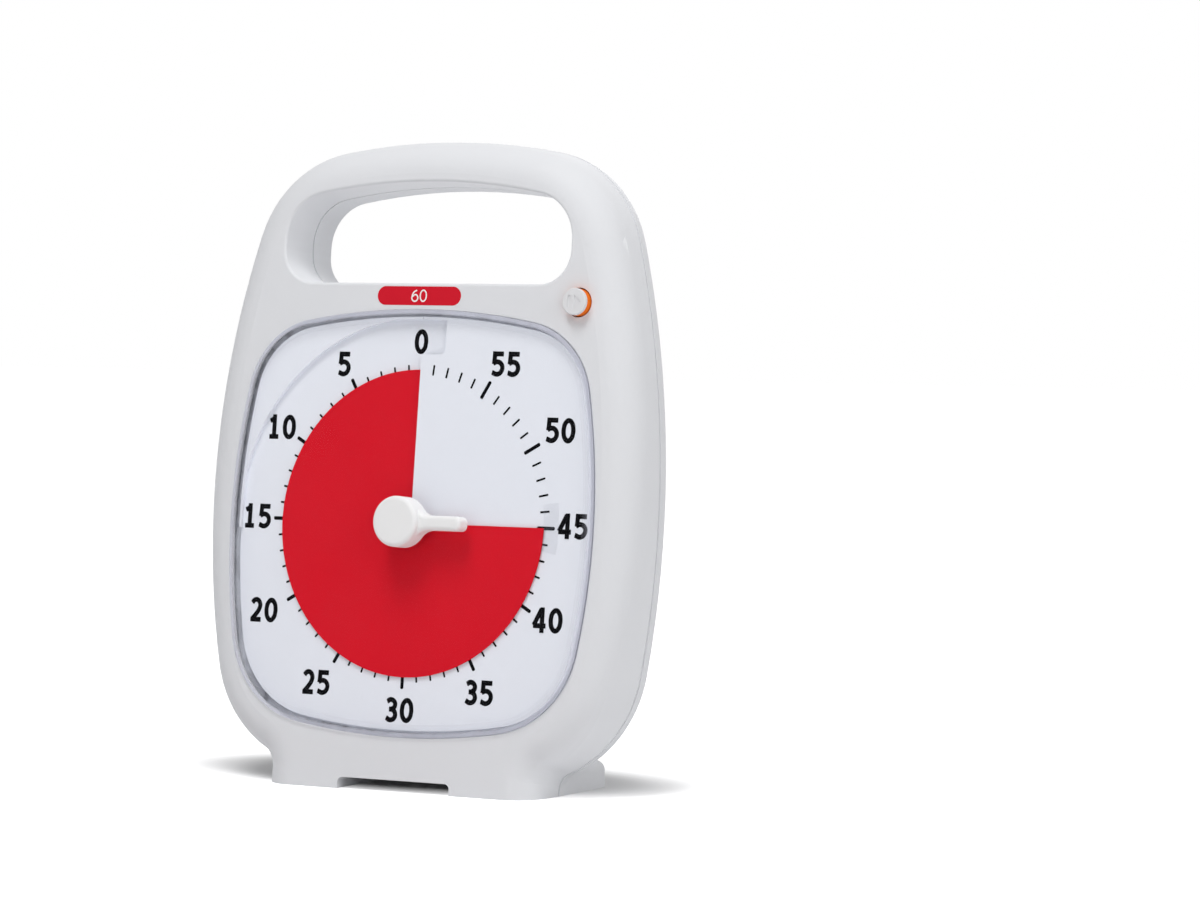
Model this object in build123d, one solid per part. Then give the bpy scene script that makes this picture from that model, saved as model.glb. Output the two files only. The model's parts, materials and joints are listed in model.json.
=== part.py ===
from build123d import *
import os
from math import acos, cos, pi, radians, sin, sqrt, tan

# Visual countdown timer: a red disc shows how much of an hour is left.
# The parts are drawn in a bench frame, with the timer lying on its back: X to the right,
# Y up the face, Z towards the user, and the dial's centre at the origin. STAND then sets
# the timer upright with its face leaning back, feet on Z = 0 and the front towards -Y.
# All lengths are in millimetres and all angles in degrees.

# Stance
lean_angle = 6.7
dial_height = 73.3
base_back = 30.0

# Outer shell: its outline at the seam, and how the front's outline differs from it
body_half_width = 70.5
body_top = 107.0
body_bottom = -73.2
widest_height = 0.6
side_radius = 292.0
top_radius = 188.0
bottom_radius = 170.0
top_corner_radius = 33.5
bottom_corner_radius = 35.6
front_narrowing = 2.7
front_lowering = 1.9
front_lifting = 2.4
front_widest_height = 13.6
front_side_radius = 211.0
front_top_radius = 178.0
front_bottom_radius = 152.0
front_top_corner = 32.8
front_bottom_corner = 32.8
front_foot_narrowing = 1.9
shell_front = 1.0
seam_depth = 13.0
shell_back = 23.0
front_rounding = 9.5
back_rounding = 9.0
shell_wall = 2.2
seam_groove = 0.35

# Feet
foot_half_width = 44.5
foot_flare_radius = 5.0
foot_gap_half_width = 18.0
foot_gap_height = 3.2
foot_gap_rounding = 1.5
heel_height = 8.0
heel_rounding = 3.0

# Carrying handle
handle_half_width = 46.0
handle_bottom = 66.2
handle_crown = 94.4
handle_top_radius = 190.0
handle_top_corner = 13.0
handle_bottom_corner = 9.5
handle_edge_rounding = 0.8

# Hump on the back over the gears and the battery
hump_half_width = 37.0
hump_top = 28.0
hump_corner_radius = 12.0
hump_rounding = 4.0

# Window and lens
window_half_width = 58.5
window_half_height = 59.0
window_side_radius = 190.0
window_end_radius = 200.0
window_top_corner = 23.0
window_bottom_corner = 28.0
lens_fit = 0.15
lens_thickness = 1.2
lens_rise = 2.4
lens_bevel_width = 2.15
lens_bevel_height = 0.8
lens_wall = 1.4
lens_bore_radius = 5.0
flange_overlap = 2.4
flange_thickness = 1.2

# Dial: one turn of a shallow spiral ramp, so that the disc can slip behind it at 0
ramp_pitch = 1.5
dial_thickness = 0.6
disc_thickness = 0.3
ramp_radius = 56.8
ramp_wall = 1.0
flat_minutes = 15.5
dial_rim_width = 0.7
dial_edge_gap = 0.5
dial_bore_radius = 5.6
slot_angle = 0.4
notch_width = 7.8
notch_bottom = 46.6
notch_rounding = 2.0

# Disc
disc_radius = 42.4
disc_sweep = 357.0
set_minutes = 45.0
tab_reach = 4.6
tab_half_angle = 8.6
hub_radius = 4.6
hub_above_disc = 0.3
hub_length = 3.6

# Knob and shaft
knob_radius = 7.0
knob_face = 9.0
knob_gap = 0.4
knob_neck_radius = 4.4
knob_rounding = 1.2
arm_width = 4.0
arm_reach = 19.9
arm_face = 7.2
arm_blend_radius = 5.0
shaft_radius = 2.0
shaft_flat = 1.5
running_fit = 0.05
press_gap = 0.02
moving_gap = 0.3

# Gear train
chassis_thickness = 1.6
chassis_depth = 5.2
bearing_radius = 5.0
gear_gap = 1.0
output_teeth = 48
output_module = 0.7
output_pinion_teeth = 12
output_face = 3.0
wheel_teeth = 40
wheel_module = 0.5
motor_pinion_teeth = 10
wheel_face = 2.4
pressure_angle = 20.0
gear_backlash = 0.12
gear_spread = 0.05
wheel_direction = -90.0
motor_direction = 20.0
axle_radius = 1.0
cover_wall = 1.5
motor_radius = 9.0
motor_length = 9.0
clutch_radius = 6.0
clutch_thickness = 0.5

# Screws
screw_shank_radius = 1.15
screw_head_radius = 2.4
screw_head_height = 1.6
screw_length = 8.0
screw_fit = 0.05
boss_wall = 1.7
frame_ear_gap = 0.3
frame_screw_high = 45.0
frame_screw_low = -70.0
side_post_x = body_half_width - 17.3
side_post_y = 72.5
handle_post_y = (handle_crown + body_top) / 2 - 0.1
foot_post_x = foot_half_width - 8.5
foot_post_y = -67.0
small_screw_radius = 0.8
small_head_radius = 1.6
small_head_height = 1.0
post_shelf = 3.0
motor_screw_length = 2.2
cover_screw_length = 2.8
board_screw_length = 5.0

# Start button and its switch
button_x = body_half_width - 20.9
button_y = 61.3
button_radius = 3.7
button_clearance = 0.35
button_rise = 2.7
button_cap_height = 0.9
button_travel = 2.0
mark_height = 3.6
mark_reach = 2.2
mark_bar_width = 1.0
mark_depth = 0.25
switch_size = 6.4
switch_height = 4.6
plunger_radius = 1.5

# Circuit board and sounder
board_depth = 10.0
board_thickness = 1.6
board_left = button_x - 26.5
board_right = button_x + 4.9
board_bottom = 34.0
board_top = 62.2
board_ear_left = button_x - 4.9
board_ear_top = 65.4
chip_length = 8.0
chip_width = 6.0
chip_height = 1.6
can_radius = 2.5
can_height = 2.6
speaker_x = -22.0
speaker_y = 44.0
speaker_radius = 14.0
speaker_rim_height = 4.4
speaker_magnet_radius = 8.0
speaker_magnet_height = 3.0
grille_hole_radius = 0.9
grille_pitch = 3.6

# Volume dial
volume_x = button_x - 14.5
volume_y = 46.0
volume_radius = 8.0
volume_thickness = 2.6
volume_recess = 2.2
volume_shaft_radius = 2.5
volume_ribs = 24
pot_size = 9.0
pot_height = 4.0

# Battery bay
cell_radius = 7.25
cell_length = 49.2
cell_nub_radius = 2.7
cell_nub_length = 1.2
cell_height = 27.0
bay_half_length = 28.2
bay_wall = 1.5
bay_fit = 0.4
door_half_width = 31.0
door_half_height = 10.2
door_thickness = 1.8
door_gap = 0.3
door_ledge = 3.6
hook_x = 18.0
hook_half_width = 3.5
hook_thickness = 1.0
hook_reach = 2.0
contact_thickness = 0.4
spring_wire = 0.45
spring_turns = 3.0
contact_gap = 0.3

STAND = Pos(0, 0, dial_height) * Rot(90 - lean_angle, 0, 0)
UNSTAND = STAND.inverse()
FAR = 200.0

shell_inner_front = shell_front - shell_wall
shell_inner_back = shell_wall - shell_back
dial_flange_front = shell_inner_front - flange_thickness
chassis_front = -chassis_depth
chassis_back = chassis_front - chassis_thickness
disc_gap = (ramp_pitch - dial_thickness - disc_thickness) / 2
rest_turn = 360.0 * (60.0 - set_minutes) / 60.0
lead_angle = 90.0 - rest_turn
lead_surface = disc_gap + disc_thickness - ramp_pitch * rest_turn / 360.0
output_gear_front = chassis_back - gear_gap
wheel_front = output_gear_front - output_face - gear_gap
cover_back = wheel_front - wheel_face - gear_gap - cover_wall


def barrel(half_width, widest, top, bottom, side_r, top_r, bottom_r, top_corner, bottom_corner):
    """A rounded outline with bulging sides, from four large arcs and four corner arcs."""
    plan = Pos(half_width - side_r, widest) * Circle(side_r)
    plan = plan & (Pos(side_r - half_width, widest) * Circle(side_r))
    plan = plan & (Pos(0, top - top_r) * Circle(top_r))
    plan = plan & (Pos(0, bottom + bottom_r) * Circle(bottom_r))
    plan = fillet(plan.vertices().filter_by(lambda v: v.Y > widest), top_corner)
    return fillet(plan.vertices().sort_by(Axis.Y)[:2], bottom_corner)


def window_plan(inset):
    """The window's outline, moved in by inset."""
    return barrel(
        window_half_width - inset, 0, window_half_height - inset, inset - window_half_height,
        window_side_radius - inset, window_end_radius - inset, window_end_radius - inset,
        window_top_corner - inset, window_bottom_corner - inset)


def touching(first, second, radius, lower):
    """The centre of a corner arc that touches two large arcs, each (x, y, radius), from inside."""
    a = first[2] - radius
    b = second[2] - radius
    dx = second[0] - first[0]
    dy = second[1] - first[1]
    span = sqrt(dx * dx + dy * dy)
    along = (a * a - b * b + span * span) / (2 * span)
    across = sqrt(a * a - along * along)
    if lower:
        across = -across
    if dx < 0:
        across = -across
    return (first[0] + (along * dx - across * dy) / span, first[1] + (along * dy + across * dx) / span)


def reach(centre, towards, radius):
    """The point at this radius from the centre, in the direction of another point."""
    dx = towards[0] - centre[0]
    dy = towards[1] - centre[1]
    span = sqrt(dx * dx + dy * dy)
    return (centre[0] + dx * radius / span, centre[1] + dy * radius / span)


def arc_round(centre, radius, start, end):
    """The short arc round a centre from start to end."""
    middle = reach(centre, ((start[0] + end[0]) / 2, (start[1] + end[1]) / 2), radius)
    return ThreePointArc(start, middle, end)


def skirted(side, crown, belly, top_corner, bottom_corner, foot, inset):
    """An outline from large arcs, each (x, y, radius), and corner arcs, with a skirt that becomes the feet."""
    shoulder = touching(side, crown, top_corner, False)
    hip = touching(side, belly, bottom_corner, True)
    edge = foot - inset
    flare_x = foot + foot_flare_radius
    drop = sqrt((bottom_corner + foot_flare_radius) ** 2 - (flare_x - hip[0]) ** 2)
    flare = (flare_x, hip[1] - drop)
    ankle = (edge, flare[1])
    hip_low = reach(hip, flare, bottom_corner - inset)
    hip_high = reach(side, hip, side[2] - inset)
    shoulder_low = reach(side, shoulder, side[2] - inset)
    shoulder_high = reach(crown, shoulder, crown[2] - inset)
    half = [
        Line((edge, -FAR), ankle),
        arc_round(flare, foot_flare_radius + inset, ankle, hip_low),
        arc_round(hip, bottom_corner - inset, hip_low, hip_high),
        arc_round(side, side[2] - inset, hip_high, shoulder_low),
        arc_round(shoulder, top_corner - inset, shoulder_low, shoulder_high),
        arc_round(crown, crown[2] - inset, shoulder_high, (0.0, crown[1] + crown[2] - inset)),
    ]
    return make_face(half + [mirror(piece, Plane.YZ) for piece in half] + [Line((-edge, -FAR), (edge, -FAR))])


def body_plan(inset):
    """The body's outline at the seam and behind it, moved in by inset."""
    side = (body_half_width - side_radius, widest_height, side_radius)
    crown = (0.0, body_top - top_radius, top_radius)
    belly = (0.0, body_bottom + bottom_radius, bottom_radius)
    return skirted(side, crown, belly, top_corner_radius, bottom_corner_radius, foot_half_width, inset)


def front_plan(inset):
    """The outline at the front face, narrower than the seam's below the middle."""
    side = (body_half_width - front_narrowing - front_side_radius, front_widest_height, front_side_radius)
    crown = (0.0, body_top - front_lowering - front_top_radius, front_top_radius)
    belly = (0.0, body_bottom + front_lifting + front_bottom_radius, front_bottom_radius)
    foot = foot_half_width - front_foot_narrowing
    return skirted(side, crown, belly, front_top_corner, front_bottom_corner, foot, inset)


def handle_plan(outset):
    """The handle's opening, moved out by outset."""
    half = handle_half_width + outset
    low = handle_bottom - outset
    high = handle_crown + outset
    radius = handle_top_radius + outset
    plan = Pos(0, (low + FAR) / 2) * Rectangle(2 * half, FAR - low)
    plan = plan & (Pos(0, high - radius) * Circle(radius))
    tall = plan.vertices().filter_by(lambda v: v.Y > low + 1)
    plan = fillet(tall, handle_top_corner + outset)
    return fillet(plan.vertices().sort_by(Axis.Y)[:2], handle_bottom_corner + outset)


def standing_box(x_low, x_high, y_low, y_high, z_low, z_high):
    """A box given in the standing timer's own directions, measured from the dial's centre line."""
    box = Box(x_high - x_low, y_high - y_low, z_high - z_low, align=(Align.MIN,) * 3)
    return UNSTAND * (Pos(x_low, y_low, z_low) * box)


def under(height):
    """Everything below this height over the table."""
    return standing_box(-FAR, FAR, -FAR, FAR, -FAR, height)


def foot_gap(outset):
    """The low arch between the feet."""
    half = foot_gap_half_width + outset
    gap = Pos(0, 0, foot_gap_height + outset - FAR / 2) * Box(2 * half, FAR, FAR)
    crown = gap.edges().filter_by(Axis.Y).sort_by(Axis.Z)[-2:]
    return UNSTAND * fillet(crown, foot_gap_rounding + outset)


def prism(plan, low, high):
    """A plan extruded between two heights."""
    return Pos(0, 0, low) * extrude(plan, high - low)


def rod(radius, low, high):
    return prism(Circle(radius), low, high)


def edges_at(solid, height):
    """The edges that lie flat at one height."""
    box_edges = solid.edges()
    return box_edges.filter_by(
        lambda e: abs(e.bounding_box().min.Z - height) < 0.001
        and abs(e.bounding_box().max.Z - height) < 0.001)


def front_form(inset):
    """The front shell's outer form, moved in by inset."""
    top = shell_front - inset
    form = loft([Pos(0, 0, -seam_depth) * body_plan(inset), Pos(0, 0, top) * front_plan(inset)], ruled=True)
    return fillet(edges_at(form, top), front_rounding - inset)


def back_form(inset):
    """The rear shell's outer form without its hump and heels, moved in by inset."""
    low = inset - shell_back
    form = prism(body_plan(inset), low, -seam_depth)
    return fillet(edges_at(form, low), back_rounding - inset)


def hump_form(inset):
    """The hump over the gears and the battery; its back stands upright."""
    half = hump_half_width - inset
    top = hump_top - inset
    plan = Pos(0, top - FAR / 2) * Rectangle(2 * half, FAR)
    plan = fillet(plan.vertices().sort_by(Axis.Y)[-2:], hump_corner_radius - inset)
    form = prism(plan, -FAR / 2, -seam_depth)
    back = base_back - inset
    form = form & standing_box(-FAR, FAR, -FAR, back, -FAR, FAR)
    rim = form.edges().filter_by(lambda e: abs((STAND * e).center().Y - back) < 0.01)
    return fillet(rim, hump_rounding - inset)


def heels():
    """The low blocks that carry the feet back to the hump's depth."""
    pair = None
    for side in (-1, 1):
        near = side * foot_gap_half_width
        far = side * foot_half_width
        block = Box(abs(far - near), base_back + seam_depth, 2 * heel_height)
        block = Pos((near + far) / 2, (base_back - seam_depth) / 2, 0) * block
        rims = block.edges().filter_by(
            lambda e: e.center().Z > 0 and (e.center().Y > base_back - 0.1 or side * e.center().X > abs(far) - 0.1))
        block = UNSTAND * fillet(rims, heel_rounding)
        block = block - prism(Rectangle(FAR, 2 * FAR), -seam_depth, FAR)
        pair = block if pair is None else pair + block
    return pair


def seam_ring():
    """The fine groove round the outline and the handle where the two shells meet."""
    ring = body_plan(-2.0) - body_plan(seam_groove)
    ring = ring + (handle_plan(seam_groove) - handle_plan(-2.0))
    return prism(ring, -seam_depth - seam_groove, -seam_depth + seam_groove)


def post_places():
    """Where the shell screws are: handle, shoulders and feet."""
    return [(0, handle_post_y), (-side_post_x, side_post_y), (side_post_x, side_post_y),
            (-foot_post_x, foot_post_y), (foot_post_x, foot_post_y)]


def window_reach(direction):
    """How far the lens flange's edge lies from the dial's centre in a direction."""
    ray = Rot(0, 0, direction) * Pos(FAR / 2, 0) * Rectangle(FAR, 0.01)
    far = (ray & window_plan(-flange_overlap)).bounding_box()
    return sqrt(far.max.X ** 2 + max(abs(far.max.Y), abs(far.min.Y)) ** 2)


def polar(radius, direction):
    return (radius * cos(radians(direction)), radius * sin(radians(direction)))


boss_radius = screw_shank_radius + screw_fit + boss_wall
frame_reach_high = window_reach(frame_screw_high) + boss_radius + frame_ear_gap
frame_reach_low = window_reach(frame_screw_low) + boss_radius + frame_ear_gap


def frame_screw_places():
    high = polar(frame_reach_high, frame_screw_high)
    low = polar(frame_reach_low, frame_screw_low)
    return [high, (-high[0], high[1]), low, (-low[0], low[1])]


def frame_ears():
    """The four lugs that the frame screws pass through, joined to the flange."""
    ears = Sketch()
    for x, y in frame_screw_places():
        lug = Circle(boss_radius + 0.5) + Pos(-4, 0) * Rectangle(8, 2 * boss_radius + 1)
        direction = Vector(x, y).get_signed_angle(Vector(1, 0), Vector(0, 0, -1))
        ears = ears + Pos(x, y) * Rot(0, 0, direction) * lug
    return ears


def make_front_shell():
    cavity = front_form(shell_wall) + prism(body_plan(shell_wall), -seam_depth - 1, -seam_depth)
    cavity = cavity - prism(handle_plan(shell_wall), -FAR, FAR)
    cavity = cavity - under(shell_wall) - foot_gap(shell_wall)
    pilot = screw_shank_radius + screw_fit
    for x, y in post_places():
        cavity = cavity - Pos(x, y) * rod(pilot + boss_wall, -FAR / 2, FAR)
    for x, y in frame_screw_places():
        cavity = cavity - Pos(x, y) * rod(boss_radius, dial_flange_front, FAR)
    shell = front_form(0) - under(0) - foot_gap(0) - cavity
    shell = shell - prism(handle_plan(0), -FAR, FAR)
    shell = fillet(edges_at(shell, shell_front).filter_by(
        lambda e: e.center().Y > handle_bottom - 0.01 and abs(e.center().X) < handle_half_width + 0.01),
        handle_edge_rounding)
    shell = shell - prism(window_plan(0), -FAR, FAR)
    shell = shell - prism(window_plan(-flange_overlap - 0.2), -seam_depth - 1, shell_inner_front)
    shell = shell - Pos(button_x, button_y) * rod(button_radius + button_clearance, -seam_depth, FAR)
    for x, y in post_places():
        shell = shell - Pos(x, y) * rod(pilot, -seam_depth - 1, shell_inner_front - 1)
    for x, y in frame_screw_places():
        shell = shell - Pos(x, y) * rod(pilot, -seam_depth - 1, shell_inner_front + 0.8)
    return shell - seam_ring()


def bay_box(grow, front, back):
    """A box round the battery, grown by grow across and up, between two depths."""
    half_height = cell_radius + bay_fit + grow
    return standing_box(-bay_half_length - grow, bay_half_length + grow, front, back,
                        cell_height - half_height, cell_height + half_height)


def door_box(grow, front, back):
    return standing_box(-door_half_width - grow, door_half_width + grow, front, back,
                        cell_height - door_half_height - grow, cell_height + door_half_height + grow)


cell_depth = base_back - door_thickness - bay_fit - cell_radius
bay_front = cell_depth - cell_radius - bay_fit


def make_rear_shell():
    inner_hump = hump_form(shell_wall)
    cavity = back_form(shell_wall) + prism(body_plan(shell_wall), -seam_depth, 1 - seam_depth)
    cavity = cavity + inner_hump
    cavity = cavity - prism(handle_plan(shell_wall), -FAR, FAR)
    cavity = cavity - under(shell_wall) - foot_gap(shell_wall)
    clear = screw_shank_radius + 0.3
    head = screw_head_radius + 0.3
    for x, y in post_places():
        cavity = cavity - Pos(x, y) * rod(head + boss_wall, -FAR / 2, -seam_depth + 2)
    cavity = cavity - Pos(speaker_x, speaker_y) * prism(
        Circle(speaker_radius + 1.6) - Circle(speaker_radius + 0.2), -FAR / 2,
        shell_inner_back + speaker_rim_height)
    for x, y in board_post_places():
        cavity = cavity - Pos(x, y) * rod(2.4, -FAR / 2, -board_depth - board_thickness)
    cavity = cavity - Pos(volume_x, volume_y) * rod(
        volume_radius + moving_gap + shell_wall, -FAR / 2, volume_floor() + shell_wall)
    cavity = cavity - bay_box(bay_wall, bay_front - bay_wall, FAR)
    cavity = cavity - door_box(2, base_back - door_thickness - door_ledge, FAR)
    shell = back_form(0) + hump_form(0) + heels() - under(0) - foot_gap(0) - cavity
    shell = shell - prism(handle_plan(0), -FAR, FAR)
    shell = fillet(edges_at(shell, -shell_back).filter_by(
        lambda e: e.center().Y > handle_bottom - 0.01 and abs(e.center().X) < handle_half_width + 0.01),
        handle_edge_rounding)
    shell = shell - bay_box(0, bay_front, FAR)
    shell = shell - door_box(door_gap, base_back - door_thickness, FAR)
    low_edge = cell_height - door_half_height - door_gap
    for side in (-1, 1):
        x = side * hook_x
        slot = hook_half_width + door_gap
        shell = shell - standing_box(
            x - slot, x + slot, base_back - door_thickness - 2.2,
            base_back - door_thickness + 0.4 + door_gap, low_edge - hook_reach - door_gap, cell_height - cell_radius)
    notch = UNSTAND * (Pos(0, base_back, cell_height + door_half_height) * Sphere(5.0))
    shell = shell - (notch & door_box(6, base_back - door_thickness - 0.5, FAR))
    for x, y in post_places():
        shell = shell - Pos(x, y) * rod(clear, -FAR / 2, FAR)
        shell = shell - Pos(x, y) * rod(head, -FAR / 2, -seam_depth - post_shelf)
    for x, y in board_post_places():
        shell = shell - Pos(x, y) * rod(small_screw_radius + screw_fit, shell_inner_back + 1, FAR)
    shell = shell - Pos(volume_x, volume_y) * rod(volume_radius + moving_gap, -FAR / 2, volume_floor())
    shell = shell - Pos(volume_x, volume_y) * rod(volume_shaft_radius + moving_gap, -FAR / 2, FAR)
    for x, y in grille_places():
        shell = shell - Pos(x, y) * rod(grille_hole_radius, -FAR / 2, FAR)
    return shell - seam_ring()


def grille_places():
    """The sounder's holes: one in the middle and two rings round it."""
    places = [(speaker_x, speaker_y)]
    for ring in (1, 2):
        for step in range(6 * ring):
            turn = radians(60.0 * step / ring)
            places.append((speaker_x + ring * grille_pitch * cos(turn), speaker_y + ring * grille_pitch * sin(turn)))
    return places


def volume_floor():
    """The bottom of the recess that the volume dial sits in."""
    return -shell_back + volume_recess


def board_post_places():
    return [(board_left + 3, board_bottom + 3), (board_left + 3, board_top - 3), (board_right - 3, board_bottom + 3)]


def make_lens():
    block = prism(window_plan(lens_fit), dial_flange_front, lens_rise)
    block = chamfer(edges_at(block, lens_rise), lens_bevel_height, lens_bevel_width)
    hollow_top = lens_rise - lens_thickness
    hollow = prism(window_plan(lens_fit + lens_wall), dial_flange_front, hollow_top)
    hollow = chamfer(edges_at(hollow, hollow_top), lens_bevel_height, lens_bevel_width)
    flange = window_plan(-flange_overlap) - window_plan(lens_fit + lens_wall)
    lens = block - hollow + prism(flange, dial_flange_front, shell_inner_front)
    return lens - rod(lens_bore_radius, -FAR, FAR)


def ramp(inner, outer, thickness, sweep_angle, start_angle, start_top):
    """A spiral sheet that climbs anticlockwise from start_angle, its upper face at start_top there."""
    middle = (inner + outer) / 2
    path = Helix(pitch=ramp_pitch, height=ramp_pitch * sweep_angle / 360.0, radius=middle)
    section = Plane(origin=path @ 0, x_dir=(1, 0, 0), z_dir=path % 0) * Rectangle(outer - inner, thickness)
    sheet = sweep(section, path=path, is_frenet=True)
    return Pos(0, 0, start_top - thickness / 2) * Rot(0, 0, start_angle) * sheet


def pie(start, end):
    """The part of the dial's plane between two minutes; minutes run anticlockwise from the top."""
    corners = [(0.0, 0.0)]
    steps = 1 + int((end - start) / 5)
    for k in range(steps + 1):
        corners.append(polar(FAR, 90 + 6 * (start + (end - start) * k / steps)))
    return make_face(Polyline(*corners, close=True))


def ramp_top(minute):
    """The height of the ramp's upper face at a minute."""
    return ramp_pitch * minute / 60.0 - ramp_pitch


def dial_plan(inset):
    """The dial's outline inside the lens wall, moved in by inset."""
    return window_plan(lens_fit + lens_wall + dial_edge_gap + inset)


def dial_rim():
    """The rim round the dial, down to its flange; outside the flat sector it stays just under the ramp."""
    ring = dial_plan(0) - dial_plan(dial_rim_width)
    rim = prism(ring & pie(0, flat_minutes), dial_flange_front, 0)
    step = (60 - flat_minutes) / 3
    for k in range(3):
        start = flat_minutes + step * k
        rim = rim + prism(ring & pie(start, start + step), dial_flange_front, ramp_top(start) - 0.05)
    return rim


def make_dial():
    flange = window_plan(-flange_overlap) - dial_plan(dial_rim_width)
    flange = flange + (frame_ears() - window_plan(0))
    dial = dial_rim() + prism(flange, dial_flange_front - flange_thickness, dial_flange_front)
    flat = (dial_plan(0) - Circle(ramp_radius)) & pie(0, flat_minutes)
    dial = dial + prism(flat, ramp_top(flat_minutes) - 0.2, 0)
    wall = (Circle(ramp_radius + ramp_wall) - Circle(ramp_radius)) & dial_plan(0) & pie(0, flat_minutes)
    dial = dial + prism(wall, -ramp_pitch - dial_thickness - 0.2, 0)
    low_part = ramp(dial_bore_radius, ramp_radius + ramp_wall / 2, dial_thickness,
                    6 * flat_minutes + 0.5, 90 + slot_angle / 2, -ramp_pitch)
    high_part = ramp(dial_bore_radius, FAR / 2, dial_thickness, 360 - 6 * flat_minutes - slot_angle / 2,
                     90 + 6 * flat_minutes, ramp_top(flat_minutes))
    limits = prism(dial_plan(0), -FAR, FAR)
    dial = dial + (low_part & limits)
    dial = dial + (high_part & limits)
    return cut_notch(dial)


def notch_plan():
    """The notch's outline, from just left of the slot, its lower right corner rounded."""
    high = ramp_radius + ramp_wall
    plan = Pos(notch_width / 2 - 0.4, (notch_bottom + high) / 2) * Rectangle(notch_width + 0.8, high - notch_bottom)
    corner = plan.vertices().sort_by(Axis.X)[-2:].sort_by(Axis.Y)[:1]
    return fillet(corner, notch_rounding)


def cut_notch(dial):
    """The sunk patch beside the slot that holds the 0."""
    low = -ramp_pitch - dial_thickness
    patch = notch_plan() & dial_plan(dial_rim_width)
    dial = dial - prism(patch, -ramp_pitch, 1)
    high = ramp_radius + ramp_wall
    box = Pos((notch_width + ramp_wall) / 2 - 0.4, (notch_bottom + high) / 2) * Rectangle(
        notch_width + ramp_wall + 0.8, high - notch_bottom)
    box = box & dial_plan(0)
    side = box - patch - Circle(disc_radius + tab_reach + moving_gap) & pie(50, 60)
    dial = dial + prism(box, low, -ramp_pitch) + prism(side, low, -0.3)
    for x, y in frame_screw_places():
        dial = dial - Pos(x, y) * rod(screw_shank_radius + 0.2, -FAR, FAR)
    return dial


def make_red_disc():
    start = lead_angle - disc_sweep
    return ramp(hub_radius + press_gap, disc_radius, disc_thickness, disc_sweep, start,
                lead_surface - ramp_pitch * disc_sweep / 360.0)


def make_lead_tab():
    start = lead_angle - tab_half_angle
    return ramp(disc_radius + press_gap, disc_radius + tab_reach, disc_thickness, 2 * tab_half_angle, start,
                lead_surface - ramp_pitch * tab_half_angle / 360.0)


def shaft_plan(grow):
    """The shaft's section with its driving flat."""
    flat = Pos(0, shaft_flat + grow + FAR / 2) * Rectangle(FAR, FAR)
    return Circle(shaft_radius + grow) - flat


def make_disc_hub():
    top = lead_surface + hub_above_disc
    return prism(Circle(hub_radius) - shaft_plan(running_fit), top - hub_length, top)


def hub_swing():
    """The highest and lowest places that the disc's hub reaches as the knob turns."""
    top = lead_surface + hub_above_disc
    forward = ramp_pitch * rest_turn / 360.0
    return top - hub_length - (ramp_pitch - forward), top + forward


def make_setting_knob():
    base = lens_rise + knob_gap
    hub = Circle(knob_radius)
    arm = Pos(arm_reach / 2, 0) * Rectangle(arm_reach, arm_width)
    tip = arm.vertices().sort_by(Axis.X)[-2:]
    plan = hub + fillet(tip, arm_width / 2 - 0.4)
    roots = plan.vertices().filter_by(lambda v: abs(abs(v.Y) - arm_width / 2) < 0.01 and v.X < knob_radius + 0.1)
    plan = fillet(roots, arm_blend_radius)
    knob = Rot(0, 0, lead_angle) * prism(plan, base, arm_face)
    crown = prism(hub, base, knob_face)
    crown = fillet(edges_at(crown, knob_face), knob_rounding)
    knob = fillet(edges_at(knob, arm_face), knob_rounding) + crown
    neck_end = hub_swing()[1] + moving_gap
    knob = knob + rod(knob_neck_radius, neck_end, base + 0.5)
    return knob - rod(shaft_radius + press_gap, -FAR, knob_face - knob_rounding)


def make_knob_shaft():
    top = knob_face - knob_rounding - 0.2
    flat_low = hub_swing()[0] - 0.05
    flat_high = hub_swing()[1] + moving_gap
    shaft = rod(shaft_radius, cover_back + 0.2, top)
    return shaft - prism(Circle(FAR / 4) - shaft_plan(0), flat_low, flat_high)


def involute_gear(teeth, module, thinning):
    """A spur gear's section, a tooth on +X, each tooth thinned by the backlash."""
    pitch_r = teeth * module / 2
    base_r = pitch_r * cos(radians(pressure_angle))
    tip_r = pitch_r + module
    root_r = pitch_r - 1.25 * module
    half_tooth = pi / (2 * teeth) - thinning / (2 * pitch_r)
    involute_at_pitch = tan(radians(pressure_angle)) - radians(pressure_angle)

    def flank(radius):
        """Half the tooth's angle at this radius."""
        if radius <= base_r:
            return half_tooth + involute_at_pitch
        slope = acos(base_r / radius)
        return half_tooth + involute_at_pitch - (tan(slope) - slope)

    start_r = max(base_r, root_r)
    plan = Circle(root_r)
    middle_r = (start_r + tip_r) / 2

    def point(radius, angle):
        return (radius * cos(angle), radius * sin(angle))

    low_r = root_r - 0.3 * module
    upper = ThreePointArc(point(start_r, flank(start_r)), point(middle_r, flank(middle_r)), point(tip_r, flank(tip_r)))
    crest = Line(point(tip_r, flank(tip_r)), point(tip_r, -flank(tip_r)))
    lower = ThreePointArc(
        point(tip_r, -flank(tip_r)), point(middle_r, -flank(middle_r)), point(start_r, -flank(start_r)))
    foot_low = Line(point(start_r, -flank(start_r)), point(low_r, -flank(start_r)))
    foot = Line(point(low_r, -flank(start_r)), point(low_r, flank(start_r)))
    foot_high = Line(point(low_r, flank(start_r)), point(start_r, flank(start_r)))
    tooth = make_face([upper, crest, lower, foot_low, foot, foot_high])
    return plan + [Rot(0, 0, 360.0 * k / teeth) * tooth for k in range(teeth)]


def centre_distance(teeth_a, teeth_b, module):
    return (teeth_a + teeth_b) * module / 2 + gear_spread


def mesh_turn(direction, teeth_a, turn_a, teeth_b):
    """The turn that brings gear B into mesh with gear A, which lies the other way along direction."""
    phase_a = (direction - turn_a) * teeth_a / 360.0
    return direction + 180.0 - (0.5 - phase_a) * 360.0 / teeth_b


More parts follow.
